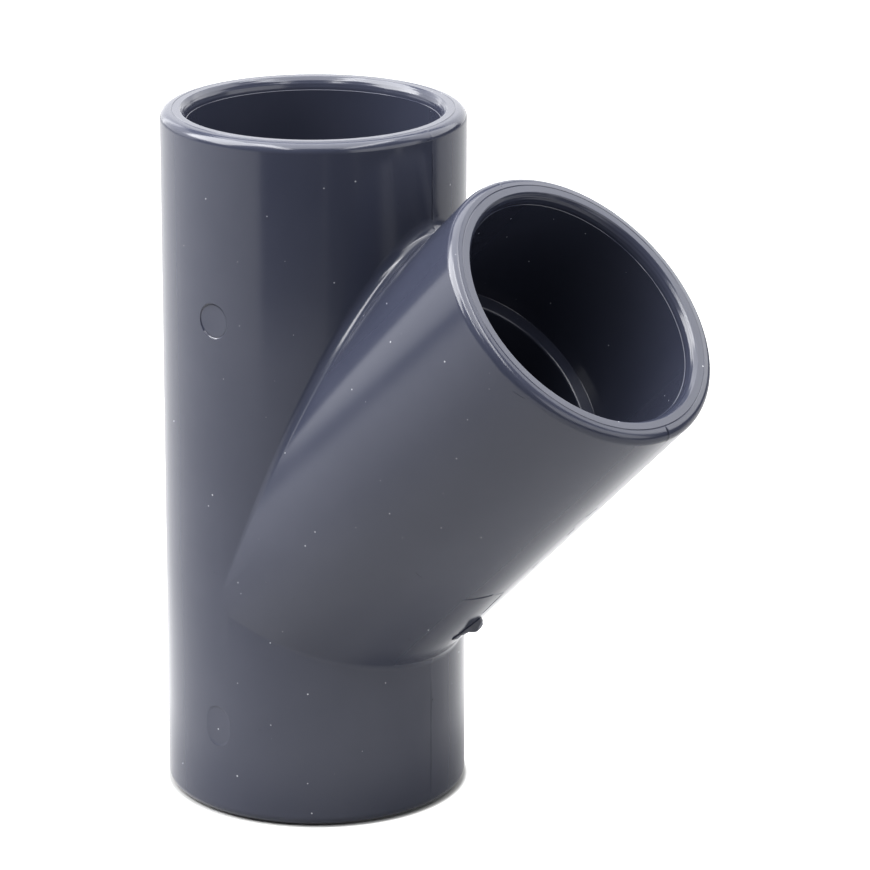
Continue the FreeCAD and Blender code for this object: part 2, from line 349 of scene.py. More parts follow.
@dataclass
class Barrel:
    """One leg of the fitting, made as a tube of rings about its axis.

    parting_width is half the width of the mould's parting line, parting_height how far the
    line stands proud, and past_crossing how far the branch starts below the crossing, in
    millimetres.
    """

    leg: Leg
    mouth: Mouth
    sides: int = 256
    past_crossing: float = 6.0
    parting_width: float = 0.16
    parting_height: float = 0.03

    def section(self) -> list[Two]:
        """Give the tube's section as distance from the axis and height along it."""
        rim = self.mouth.outline()
        if self.leg is Leg.BRANCH:
            top = SIZES.branch_length
            foot = -self.past_crossing
            start, end = (SIZES.waterway_radius, foot), (SIZES.outer_radius, foot)
            return [start] + [(r, top - d) for r, d in rim] + [end]
        top = SIZES.run_length
        upper = [(r, top - d) for r, d in rim]
        return upper + [(r, d) for r, d in reversed(rim)]

    def rings(self) -> Piece:
        """Draw a ring and carry it along the section by extruding and resizing it.

        Returns:
            The open or closed tube.
        """
        section = self.section()
        radius, height = section[0]
        clear_selection()
        bpy.ops.mesh.primitive_circle_add(vertices=self.sides, radius=radius * MM)
        tube = bpy.context.object
        tube.name = self.leg.value
        start_edit(tube)
        for side in (-1, 1):
            pick_all()
            bisect((0.0, side * self.parting_width * MM, 0.0), (0.0, 1.0, 0.0))
        pick_all()
        shift((0.0, 0.0, height * MM))
        for wide, high in section[1:]:
            extrude((0.0, 0.0, (high - height) * MM))
            if abs(wide - radius) > 1e-6:
                scale = wide / radius
                resize((scale, scale, 1.0), (0.0, 0.0, high * MM))
            radius, height = wide, high
        if self.leg is Leg.RUN:
            bpy.ops.mesh.select_mode(type="EDGE")
            bpy.ops.mesh.select_all(action="DESELECT")
            pick(tube, "edges", lambda edge: edge.is_boundary)
            bpy.ops.mesh.bridge_edge_loops()
            bpy.ops.mesh.select_mode(type="VERT")
        turn_outwards()
        self.raise_parting_line(tube)
        end_edit()
        return tube

    def raise_parting_line(self, tube: Piece) -> None:
        """Lift the middle column outside the rim's joint into the mould's parting line."""
        inner = (self.mouth.joint_radius + self.mouth.joint_half_width + 0.02) * MM
        near = 0.01 * MM
        pick(tube, "verts", lambda v: abs(v.co.y) < near and abs(v.co.x) > inner)
        bpy.ops.transform.shrink_fatten(value=self.parting_height * MM)

    def place(self, tube: Piece) -> None:
        """Tilt the branch and bring it to the crossing."""
        if self.leg is Leg.BRANCH:
            tube.rotation_euler = (0.0, math.radians(SIZES.branch_angle), 0.0)
            tube.location = (0.0, 0.0, SIZES.crossing_height * MM)
        settle(tube)

    def mitre(self, tube: Piece) -> None:
        """Cut the tube along the two planes where equal barrels meet."""
        crossing = Vector((0.0, 0.0, SIZES.crossing_height * MM))
        half = math.radians(SIZES.branch_angle / 2)
        crotch = Vector((math.cos(half), 0.0, -math.sin(half)))
        heel = Vector((math.sin(half), 0.0, math.cos(half)))
        start_edit(tube, "FACE")
        for normal in (crotch, heel):
            if self.leg is Leg.BRANCH:
                pick_all()
            else:
                pick(tube, "faces", lambda face: face.calc_center_median().x > 0.01 * MM)
            bisect(crossing, normal)

        def between(face: Any) -> bool:
            """Tell whether a face lies on the branch's side of both planes."""
            out = face.calc_center_median() - crossing
            return out.dot(crotch) > 0 and out.dot(heel) > 0

        keep_between = self.leg is Leg.BRANCH
        pick(tube, "faces", lambda face: between(face) != keep_between)
        bpy.ops.mesh.delete(type="FACE")
        end_edit()

    def build(self) -> Piece:
        """Make the leg, placed and mitred, ready to be joined to the other."""
        tube = self.rings()
        self.place(tube)
        self.mitre(tube)
        return tube


@dataclass
class Junction:
    """The hollow blend round the crossing of the two legs, in millimetres."""

    radius: float = SIZES.blend_radius
    segments: int = 12
    least: float = 0.12
    surface_band: float = 0.08

    def weigh(self, body: Piece) -> float:
        """Weigh the crossing's edges so that a bevel of one width gives one radius.

        Args:
            body: the joined legs.

        Returns:
            The bevel's full width, in millimetres.
        """
        mesh = body.data
        places = np.empty(len(mesh.vertices) * 3, np.float32)
        mesh.vertices.foreach_get("co", places)
        places = places.reshape(-1, 3) / MM
        axis = np.array(SIZES.branch_axis)
        off = places - np.array([0.0, 0.0, SIZES.crossing_height])
        from_run = np.hypot(places[:, 0], places[:, 1])
        from_branch = np.linalg.norm(off - np.outer(off @ axis, axis), axis=1)
        band = self.surface_band
        on_both = (abs(from_run - SIZES.outer_radius) < band) & (
            abs(from_branch - SIZES.outer_radius) < band
        )
        ends = np.empty(len(mesh.edges) * 2, np.int32)
        mesh.edges.foreach_get("vertices", ends)
        ends = ends.reshape(-1, 2)
        crossing = on_both[ends].all(axis=1)
        middle = places[ends].mean(axis=1)
        half = math.radians(SIZES.branch_angle / 2)
        share = np.where(middle[:, 2] > SIZES.crossing_height, math.cos(half), math.sin(half))
        sine = np.clip(share * middle[:, 0] / SIZES.outer_radius, 0.0, math.cos(half))
        widths = np.where(crossing, self.radius * sine / np.sqrt(1 - sine**2), 0.0)
        widths[widths < self.least] = 0.0
        full = float(widths.max())
        weights = mesh.attributes.new("bevel_weight_edge", "FLOAT", "EDGE")
        weights.data.foreach_set("value", (widths / full).astype(np.float32))
        LOG.info("crossing edges: %d, bevel width %.2f mm", int(crossing.sum()), full)
        return full

    def build(self, legs: Sequence[Piece]) -> Piece:
        """Join the legs into one closed body and blend their crossing.

        Args:
            legs: the run and the branch.

        Returns:
            The joined body.
        """
        body = join(legs[0], legs[1:])
        body.name = "wye_moulding"
        body.data.name = "wye_moulding"
        start_edit(body)
        pick_all()
        bpy.ops.mesh.remove_doubles(threshold=JOINED * MM)
        turn_outwards()
        open_edges = pick(body, "edges", lambda edge: not edge.is_manifold)
        LOG.info("joined body: %d open edges", open_edges)
        end_edit()
        width = self.weigh(body)
        apply_modifier(
            body,
            "BEVEL",
            width=width * MM,
            segments=self.segments,
            limit_method="WEIGHT",
            offset_type="OFFSET",
            use_clamp_overlap=False,
            loop_slide=True,
        )
        return body


def stand(tool: Piece, origin: Vector, along: Vector, out: Vector) -> None:
    """Set a tool's own X along one way and its Z out of the surface, and settle it.

    Args:
        tool: the object, made at the origin.
        origin: the place that its own origin goes to, in millimetres.
        along: the way that its X comes near to.
        out: the way that its Z takes.
    """
    side = out.cross(along).normalized()
    ahead = side.cross(out).normalized()
    tool.rotation_euler = Matrix((ahead, side, out.normalized())).transposed().to_euler()
    tool.location = origin * MM
    settle(tool)


@dataclass(frozen=True)
class InsertMark:
    """The bare witness of a mould insert: a flat, slightly sunk spot with a fine edge.

    Sizes in millimetres. straight is half the length of the straight sides, and insets the
    widths of the flat edge and of the slope inside it.
    """

    name: str
    height: float
    radius: float
    straight: float
    sunk: float
    groove: float
    flank: float
    insets: Two = (0.16, 0.2)

    def tool(self) -> Piece:
        """Make the shape that is pressed into the near side of the run."""
        clear_selection()
        bpy.ops.mesh.primitive_circle_add(
            vertices=72, radius=self.radius * MM, fill_type="NGON"
        )
        tool = bpy.context.object
        start_edit(tool)
        for side in (-1, 1):
            pick(tool, "verts", lambda vert: vert.co.x * side > 1e-5)
            shift((side * self.straight * MM, 0.0, 0.0))
        pick_all()
        wide = 1 + self.flank / self.radius
        extrude((0.0, 0.0, (self.groove + 0.1) * MM))
        resize((wide, wide, 1.0), (0.0, 0.0, 0.0))
        extrude((0.0, 0.0, MM))
        bpy.ops.mesh.select_mode(type="FACE")
        pick(tool, "faces", lambda face: face.calc_center_median().z < 1e-7)
        for width, lift in zip(self.insets, (0.0, self.groove)):
            bpy.ops.mesh.inset(thickness=width * MM, depth=0.0)
            if lift:
                shift((0.0, 0.0, lift * MM))
        turn_outwards()
        end_edit()
        place = SIZES.on_run(self.height, -90.0, -self.sunk - self.groove)
        stand(tool, place, UP, Vector((0.0, -1.0, 0.0)))
        return tool


@dataclass(frozen=True)
class Score:
    """A V-shaped cut in a surface: a knife slit, a nick, a scratch or a pit.

    stations gives, from end to end, the distance along, the height out of the origin's
    plane, the half width and the depth, in millimetres.
    """

    origin: Vector
    along: Vector
    out: Vector
    stations: tuple[Four, ...]

    def tool(self) -> Piece:
        """Make the blade that cuts it."""
        clear_selection()
        bpy.ops.mesh.primitive_circle_add(vertices=4, radius=MM, fill_type="NGON")
        tool = bpy.context.object
        tool.rotation_euler = (0.0, math.pi / 2, 0.0)
        settle(tool)
        start_edit(tool)
        pick_all()
        x, z, wide, deep = self.stations[0]
        resize((1.0, wide, deep), (0.0, 0.0, 0.0))
        shift((x * MM, 0.0, z * MM))
        for ahead, high, half, down in self.stations[1:]:
            extrude(((ahead - x) * MM, 0.0, (high - z) * MM))
            resize((1.0, half / wide, down / deep), (ahead * MM, 0.0, high * MM))
            x, z, wide, deep = ahead, high, half, down
        turn_outwards()
        end_edit()
        stand(tool, self.origin, self.along, self.out)
        return tool


def branch_out(turn: float) -> Vector:
    """Give the way straight out of the branch at an angle round it."""
    return (SIZES.on_branch(0.0, turn, 1.0) - SIZES.on_branch(0.0, turn)).normalized()


def branch_score(start: Two, end: Two, wide: float, deep: float) -> Score:
    """Cut the branch's wall from one place to another.

    Args:
        start: distance along the branch and angle round it.
        end: the same for the far end.
        wide: half the cut's width, in millimetres.
        deep: its depth, in millimetres.

    Returns:
        The cut, narrow at both ends.
    """
    turn = (start[1] + end[1]) / 2
    first, last = SIZES.on_branch(*start), SIZES.on_branch(*end)
    middle = SIZES.on_branch((start[0] + end[0]) / 2, turn)
    reach, out = (last - first).length, branch_out(turn)
    low = (first - middle).dot(out)
    shape = ((0.0, 0.15), (0.18, 0.85), (0.36, 1.0), (0.6, 0.8), (0.82, 0.9), (1.0, 0.15))
    stations = tuple(
        (reach * (share - 0.5), low * (2 * share - 1) ** 2, wide * size, deep * size)
        for share, size in shape
    )
    return Score(middle, last - first, out, stations)


@dataclass(frozen=True)
class Blemishes:
    """The knife cuts, nicks, chips, pits and parting lines on the walls and rims.

    Places on the branch are distance along it and angle round it. A parting line is its lower
    end, its upper end and its angle round the run. A slit's station is a place and a half
    width, a nick its two ends and its half width, a pit its leg, its place and its half width,
    and a rim cut its leg, its angle, its stations (distance from the axis and depth below the
    rim) and its half width.
    """

    parting_width: float = 0.19
    parting_lines: tuple[Three, ...] = (
        (3.2, 32.5, 0.0), (146.0, 163.6, 0.0), (3.2, 163.6, 180.0),
    )
    knife_slit: tuple[Three, ...] = (
        (45.1, 158.7, 0.07), (45.7, 161.5, 0.26), (46.3, 165.0, 0.40),
        (46.6, 169.0, 0.48), (46.6, 172.4, 0.40), (46.5, 173.6, 0.10),
    )
    slit_middle: Two = (46.2, 166.0)
    slit_ends: tuple[Two, Two] = ((45.1, 158.7), (46.5, 173.0))
    slit_depth: float = 1.6
    nick_depth: float = 0.9
    pit_depth: float = 0.85
    rim_cut_depth: float = 1.1
    blunt: float = 0.3
    nicks: tuple[tuple[Two, Two, float], ...] = (
        ((46.6, 174.4), (46.3, 180.4), 0.14),
        ((46.1, 180.8), (35.0, 181.8), 0.32),
        ((71.0, 182.5), (74.9, 181.7), 0.18),
        ((79.6, 180.9), (83.6, 183.0), 0.20),
        ((55.8, 183.3), (59.3, 182.7), 0.16),
        ((50.4, 133.4), (49.7, 137.2), 0.07),
        ((112.2, 109.5), (112.9, 114.5), 0.06),
    )
    pits: tuple[tuple[Leg, float, float, float], ...] = (
        (Leg.RUN, 61.8, -90.6, 0.12), (Leg.RUN, 13.7, -106.2, 0.12),
        (Leg.RUN, 18.1, -17.5, 0.13), (Leg.RUN, 3.9, -27.3, 0.14),
        (Leg.RUN, 19.1, -109.0, 0.10), (Leg.RUN, 24.1, -71.4, 0.12),
        (Leg.RUN, 5.6, -105.0, 0.10), (Leg.RUN, 159.8, -65.9, 0.11),
        (Leg.RUN, 157.6, -66.3, 0.09), (Leg.RUN, 155.8, -65.9, 0.11),
        (Leg.RUN, 153.6, -65.6, 0.09), (Leg.RUN, 153.3, -16.6, 0.13),
        (Leg.RUN, 149.2, -53.4, 0.10), (Leg.RUN, 139.6, -52.1, 0.11),
        (Leg.RUN, 27.6, 0.9, 0.22), (Leg.BRANCH, 38.9, 141.3, 0.11),
        (Leg.BRANCH, 28.4, 142.8, 0.12), (Leg.BRANCH, 26.8, 155.2, 0.14),
        (Leg.BRANCH, 20.9, 108.1, 0.12), (Leg.BRANCH, 18.0, 96.5, 0.13),
    )
    rim_cuts: tuple[tuple[Leg, float, tuple[Two, ...], float], ...] = (
        (
            Leg.BRANCH, 179.0,
            ((33.7, 0.0), (34.6, 0.15), (35.4, 0.6), (36.1, 1.4), (36.6, 2.6)), 0.32,
        ),
        (Leg.BRANCH, 0.6, ((33.2, 0.0), (33.8, 0.0), (34.5, 0.1)), 0.16),
        (Leg.RUN, -2.4, ((35.5, 0.6), (36.1, 1.4), (36.5, 2.4)), 0.24),
        (Leg.RUN, 179.8, ((33.5, 0.0), (34.0, 0.0), (34.7, 0.1)), 0.18),
    )

    def slit(self) -> Score:
        """Cut the slit where the knife that trimmed the gate was stopped."""
        middle = SIZES.on_branch(*self.slit_middle)
        out = branch_out(self.slit_middle[1])
        first, last = (SIZES.on_branch(*end) for end in self.slit_ends)
        way = (last - first).normalized()
        way = (way - out * way.dot(out)).normalized()
        stations = []
        for along, turn, wide in self.knife_slit:
            off = SIZES.on_branch(along, turn) - middle
            stations.append((off.dot(way), off.dot(out), wide, wide * self.slit_depth))
        return Score(middle, way, out, tuple(stations))

    def pit(self, leg: Leg, along: float, turn: float, wide: float) -> Score:
        """Cut one small pit in a wall.

        Args:
            leg: the leg that it is on.
            along: distance along the leg, in millimetres.
            turn: the angle round the leg.
            wide: half the pit's width, in millimetres.

        Returns:
            The pit.
        """
        if leg is Leg.RUN:
            place, out = SIZES.on_run(along, turn), SIZES.on_run(0.0, turn)
            way = UP
        else:
            place, out, way = SIZES.on_branch(along, turn), branch_out(turn), SIZES.branch_axis
        deep = wide * self.pit_depth
        start, end = (
            (side * wide, 0.0, wide * self.blunt, deep * self.blunt) for side in (-1, 1)
        )
        return Score(place, way, out, (start, (0.0, 0.0, wide, deep), end))

    def parting_line(self, low: float, high: float, turn: float) -> Score:
        """Cut a stretch of the fine line that the mould's halves leave on the run.

        Args:
            low: height of its lower end, in millimetres.
            high: height of its upper end, in millimetres.
            turn: degrees round from the branch's side, seen from above.

        Returns:
            The cut, a little uneven in width.
        """
        angle = math.radians(turn)
        out = Vector((math.cos(angle), math.sin(angle), 0.0))
        sizes = (0.3, 1.0, 0.8, 1.1, 0.7, 1.0, 0.9, 0.3)
        step = (high - low) / (len(sizes) - 1)
        wide = self.parting_width
        stations = tuple(
            (index * step, 0.0, wide * size, wide * size) for index, size in enumerate(sizes)
        )
        return Score(SIZES.on_run(low, turn), UP, out, stations)

    def rim_cut(self, leg: Leg, turn: float, places: Sequence[Two], wide: float) -> Score:
        """Cut a notch across a rim.

        Args:
            leg: the leg whose outer end is cut.
            turn: the angle round the leg.
            places: distance from the axis and depth below the rim's plane, from end to end.
            wide: half the notch's width, in millimetres.

        Returns:
            The notch.
        """
        if leg is Leg.RUN:
            end = Vector((0.0, 0.0, SIZES.run_length))
            way, up = SIZES.on_run(0.0, turn).normalized(), UP
        else:
            end = Vector((0.0, 0.0, SIZES.crossing_height))
            end += SIZES.branch_axis * SIZES.branch_length
            way, up = branch_out(turn), SIZES.branch_axis
        deep = wide * self.rim_cut_depth
        stations = [(out, -down, wide, deep) for out, down in places]
        stations[0] = (*stations[0][:2], wide * self.blunt, wide * self.blunt)
        return Score(end, way, up, tuple(stations))

    def tools(self) -> list[Piece]:
        """Make every blade."""
        scores = [self.slit()]
        scores += [
            branch_score(start, end, wide, wide * self.nick_depth)
            for start, end, wide in self.nicks
        ]
        scores += [self.pit(*pit) for pit in self.pits]
        scores += [self.parting_line(*stretch) for stretch in self.parting_lines]
        scores += [self.rim_cut(*notch) for notch in self.rim_cuts]
        return [score.tool() for score in scores]


@dataclass(frozen=True)
class GateStump:
    """The torn stump of the gate under the branch, beside the knife's cut.

    profile gives distance along the stump from its start and height out of the wall, and
    slant how far the stump turns from the branch's length, in degrees.
    """

    start: float = 24.4
    turn: float = 180.4
    slant: float = 28.0
    half_width: float = 0.85
    sink: float = 1.5
    profile: tuple[Two, ...] = (
        (0.0, 0.1), (1.0, 0.4), (2.0, 0.3), (3.1, 0.55), (4.2, 0.7),
        (4.9, 1.4), (5.7, 1.75), (7.0, 1.65), (8.0, 1.05), (8.6, 0.4),
    )
    columns: tuple[float, ...] = (-0.6, -0.2, 0.2, 0.6)
    rough: float = 0.19

    def build(self) -> Piece:
        """Make the stump, ready to be joined to the branch."""
        clear_selection()
        length = self.profile[-1][0]
        bpy.ops.mesh.primitive_cube_add(size=1.0)
        stump = bpy.context.object
        stump.name = "gate_stump"
        stump.dimensions = (length * MM, 2 * self.half_width * MM, self.sink * MM)
        stump.location = (length / 2 * MM, 0.0, -self.sink / 2 * MM)
        settle(stump)
        start_edit(stump)
        for along, _ in self.profile[1:-1]:
            pick_all()
            bpy.ops.mesh.bisect(plane_co=(along * MM, 0.0, 0.0), plane_no=(1.0, 0.0, 0.0))
        for share in self.columns:
            pick_all()
            place = (0.0, share * self.half_width * MM, 0.0)
            bpy.ops.mesh.bisect(plane_co=place, plane_no=(0.0, 1.0, 0.0))
        for along, high in self.profile:
            place = along * MM
            pick(stump, "verts", lambda v: abs(v.co.x - place) < 1e-5 and v.co.z > -1e-5)
            shift((0.0, 0.0, high * MM))
        bpy.ops.mesh.select_mode(type="FACE")
        pick(stump, "faces", lambda face: face.normal.z > 0.2)
        bpy.ops.mesh.subdivide(number_cuts=1)
        bpy.ops.mesh.select_mode(type="VERT")
        pick(stump, "verts", lambda vert: vert.co.z > 0.05 * MM)
        bpy.ops.transform.vertex_random(offset=self.rough * MM, uniform=0.3, seed=4)
        turn_outwards()
        end_edit()
        place = SIZES.on_branch(self.start, self.turn)
        slant = math.radians(self.slant)
        across = branch_out(self.turn + 90.0)
        along = SIZES.branch_axis * math.cos(slant) + across * math.sin(slant)
        stand(stump, place, along, branch_out(self.turn))
        return stump


class Wire:
    """A shader socket that Python's operators can work on."""

    def __init__(self, graph: "Graph", socket: Any) -> None:
        """Hold a socket and the graph that it is in."""
        self.graph = graph
        self.socket = socket

    def work(self, operation: str, *values: Any) -> "Wire":
        """Add a Math node.

        Args:
            operation: the node's operation.
            *values: its inputs, as numbers or wires.

        Returns:
            Its result.
        """
        node = self.graph.add("ShaderNodeMath", dict(enumerate(values)), operation=operation)
        return Wire(self.graph, node.outputs[0])

    def __add__(self, other: Any) -> "Wire":
        """Add."""
        return self.work("ADD", self, other)

    def __radd__(self, other: Any) -> "Wire":
        """Add to a number."""
        return self.work("ADD", other, self)

    def __sub__(self, other: Any) -> "Wire":
        """Subtract."""
        return self.work("SUBTRACT", self, other)

    def __rsub__(self, other: Any) -> "Wire":
        """Subtract from a number."""
        return self.work("SUBTRACT", other, self)

    def __mul__(self, other: Any) -> "Wire":
        """Multiply."""
        return self.work("MULTIPLY", self, other)

    def __truediv__(self, other: Any) -> "Wire":
        """Divide."""
        return self.work("DIVIDE", self, other)

    def above(self, level: float) -> "Wire":
        """Give 1 where the value is over a level, and 0 elsewhere."""
        return self.work("GREATER_THAN", self, level)

    def step(self, low: float, high: float) -> "Wire":
        """Rise smoothly from 0 at one value to 1 at another."""
        inputs = {"Value": self, "From Min": low, "From Max": high, "To Min": 0.0, "To Max": 1.0}
        node = self.graph.add("ShaderNodeMapRange", inputs, interpolation_type="SMOOTHSTEP")
        return Wire(self.graph, node.outputs["Result"])


class Graph:
    """A node tree, filled from code."""

    def __init__(self, tree: bpy.types.NodeTree) -> None:
        """Empty the tree and hold it."""
        tree.nodes.clear()
        self.tree = tree

    def add(self, kind: str, inputs: Inputs | None = None, **settings: Any) -> bpy.types.Node:
        """Add a node.

        Args:
            kind: its type.
            inputs: values or wires for its sockets, by name or number.
            **settings: its properties, set first.

        Returns:
            The node.
        """
        node = self.tree.nodes.new(kind)
        for name, value in settings.items():
            setattr(node, name, value)
        for name, value in (inputs or {}).items():
            socket = node.inputs[name]
            if isinstance(value, Wire):
                self.tree.links.new(value.socket, socket)
            else:
                socket.default_value = value
        return node

    def wire(self, node: bpy.types.Node, output: Any = 0) -> Wire:
        """Give a node's output as a wire."""
        return Wire(self, node.outputs[output])

    def noise(self, place: Wire, scale: float, detail: float) -> Wire:
        """Add a noise texture and give its value."""
        inputs = {"Vector": place, "Scale": scale, "Detail": detail, "Roughness": 0.5}
        return self.wire(self.add("ShaderNodeTexNoise", inputs))

    def vector(self, operation: str, first: Wire, second: Any = (0.0, 0.0, 0.0)) -> Any:
        """Add a Vector Math node and give its number or its vector, whichever it makes."""
        node = self.add("ShaderNodeVectorMath", {0: first, 1: second}, operation=operation)
        made = "Value" if operation in ("LENGTH", "DISTANCE") else "Vector"
        return self.wire(node, made)

    def show(self, kind: str, inputs: Inputs, output: str = "Material") -> None:
        """Add the shader that a material or the world ends with, and its output."""
        shader = self.wire(self.add(kind, inputs))
        self.add(f"ShaderNodeOutput{output}", {"Surface": shader})

    def blend(self, share: Wire, low: Any, high: Any) -> Wire:
        """Mix two colours by a share from 0 to 1."""
        node = self.add("ShaderNodeMix", {"Factor": share, 6: low, 7: high}, data_type="RGBA")
        return self.wire(node, 2)


def new_material(name: str) -> tuple[bpy.types.Material, Graph]:
    """Make an empty material and give it with its graph."""
    material = bpy.data.materials.new(name)
    material.use_nodes = True
    return material, Graph(material.node_tree)


def colour(red: float, green: float, blue: float) -> Four:
    """Give an opaque colour in linear light."""
    return (red, green, blue, 1.0)


@dataclass(frozen=True)
class Specks:
    """Small scattered dots.

    per_metre is the cells per metre, size a dot's radius as a share of a cell, and few the
    share of cells, from 0 to 1, that stay empty.
    """

    per_metre: float
    size: float
    few: float


@dataclass(frozen=True)
class MouldedPlastic:
    """Glossy dark grey-blue moulded plastic, handled and a little dusty."""

    base: Four = colour(0.034, 0.0375, 0.056)
    worn: Four = colour(0.040, 0.0435, 0.063)
    dust: Four = colour(0.40, 0.41, 0.44)
    torn: Four = colour(0.22, 0.225, 0.25)
    roughness: float = 0.15
    ior: float = 1.46
    dust_specks: Specks = Specks(250.0, 0.062, 0.35)
    pit_specks: Specks = Specks(290.0, 0.068, 0.45)
    torn_place: Two = (29.5, 184.0)
    torn_reach: Two = (6.5, 8.0)
    torn_proud: Two = (0.06, 0.3)
    bump_strength: float = 0.25
    bump_height: float = 0.1

    def specks(self, graph: Graph, place: Wire, kind: Specks) -> Wire:
        """Scatter small dots.

        Args:
            graph: the material's graph.
            place: the place on the piece.
            kind: how many dots and how large.

        Returns:
            1 in the dots and 0 elsewhere.
        """
        inputs = {"Vector": place, "Scale": kind.per_metre}
        cells = graph.add("ShaderNodeTexVoronoi", inputs, feature="F1")
        colours = graph.add("ShaderNodeSeparateColor", {0: graph.wire(cells, "Color")})
        chosen = graph.wire(colours, 0).above(kind.few)
        reach = graph.wire(colours, 1) * (kind.size * 0.8) + kind.size * 0.35
        near = 1.0 - (graph.wire(cells, "Distance") / reach).step(0.55, 1.0)
        return chosen * near

    def broken(self, graph: Graph, place: Wire) -> Wire:
        """Find the paler torn plastic of the gate stump.

        Args:
            graph: the material's graph.
            place: the place on the piece.

        Returns:
            1 on the stump and 0 elsewhere.
        """
        centre = SIZES.on_branch(*self.torn_place) * MM
        crossing = (0.0, 0.0, SIZES.crossing_height * MM)
        off = graph.vector("SUBTRACT", place, crossing)
        reach = graph.vector("LENGTH", graph.vector("CROSS_PRODUCT", off, SIZES.branch_axis))
        apart = graph.vector("DISTANCE", place, centre)
        low, high = ((SIZES.outer_radius + proud) * MM for proud in self.torn_proud)
        near, far = (limit * MM for limit in self.torn_reach)
        return reach.step(low, high) * (1.0 - apart.step(near, far))

    def build(self) -> bpy.types.Material:
        """Make the material."""
        material, graph = new_material("moulded_plastic")
        place = graph.wire(graph.add("ShaderNodeTexCoord"), "Object")
        mottle = graph.noise(place, 28.0, 3.0)
        peel = graph.noise(place, 420.0, 2.0)
        ripple = graph.noise(place, 55.0, 1.0)
        dust = self.specks(graph, place, self.dust_specks)
        pits = self.specks(graph, place, self.pit_specks)
        torn = self.broken(graph, place)
        tint = graph.blend(mottle.step(0.35, 0.75), self.base, self.worn)
        tint = graph.blend(dust * 0.75, tint, self.dust)
        tint = graph.blend(torn * mottle.step(0.1, 0.6), tint, self.torn)
        rough = self.roughness + mottle * 0.05 + dust * 0.3 + torn * 0.3
        height = ripple * 0.6 + peel * 0.05 - pits * 0.35 + dust * 0.12
        depth = self.bump_height * MM
        inputs = {"Strength": self.bump_strength, "Distance": depth, "Height": height}
        bump = graph.wire(graph.add("ShaderNodeBump", inputs), "Normal")
        inputs = {"Base Color": tint, "Roughness": rough, "IOR": self.ior, "Normal": bump}
        graph.show("ShaderNodeBsdfPrincipled", inputs)
        return material


def aim(place: Sequence[float], target: Sequence[float], turn: float) -> Any:
    """Turn a light or a camera from its place towards a target, and then about that way.

    Args:
        place: where it stands, in metres.
        target: what it points at, in metres.
        turn: degrees about the way that it points.

    Returns:
        Its rotation.
    """
    way = (Vector(target) - Vector(place)).to_track_quat("-Z", "Y")
    return (way @ Quaternion((0.0, 0.0, 1.0), math.radians(turn))).to_euler()


@dataclass
class Panel:
    """A soft light: its middle, the place that it faces, its size, radiance and turn.

    Lengths are in metres, and turn is degrees about the way that it faces.
    """

    name: str
    middle: Three
    faces: Three
    wide: float
    tall: float
    radiance: float
    turn: float = 0.0


@dataclass
class Flag:
    """A black card that stands on an arc about the fitting, out of the camera's sight.

    Angles are in degrees seen from above, lengths in metres.
    """

    name: str
    start: float
    end: float
    distance: float
    tall: float


@dataclass(frozen=True)
class Viewpoint:
    """The photograph's viewpoint: lengths in metres, the lens in millimetres."""

    place: Three = (0.717329, -0.830826, 0.436717)
    target: Three = (0.037466, 0.0, 0.094971)
    roll: float = 0.142
    lens: float = 196.761
    sensor_width: float = 36.0
    clip: Two = (0.05, 30.0)


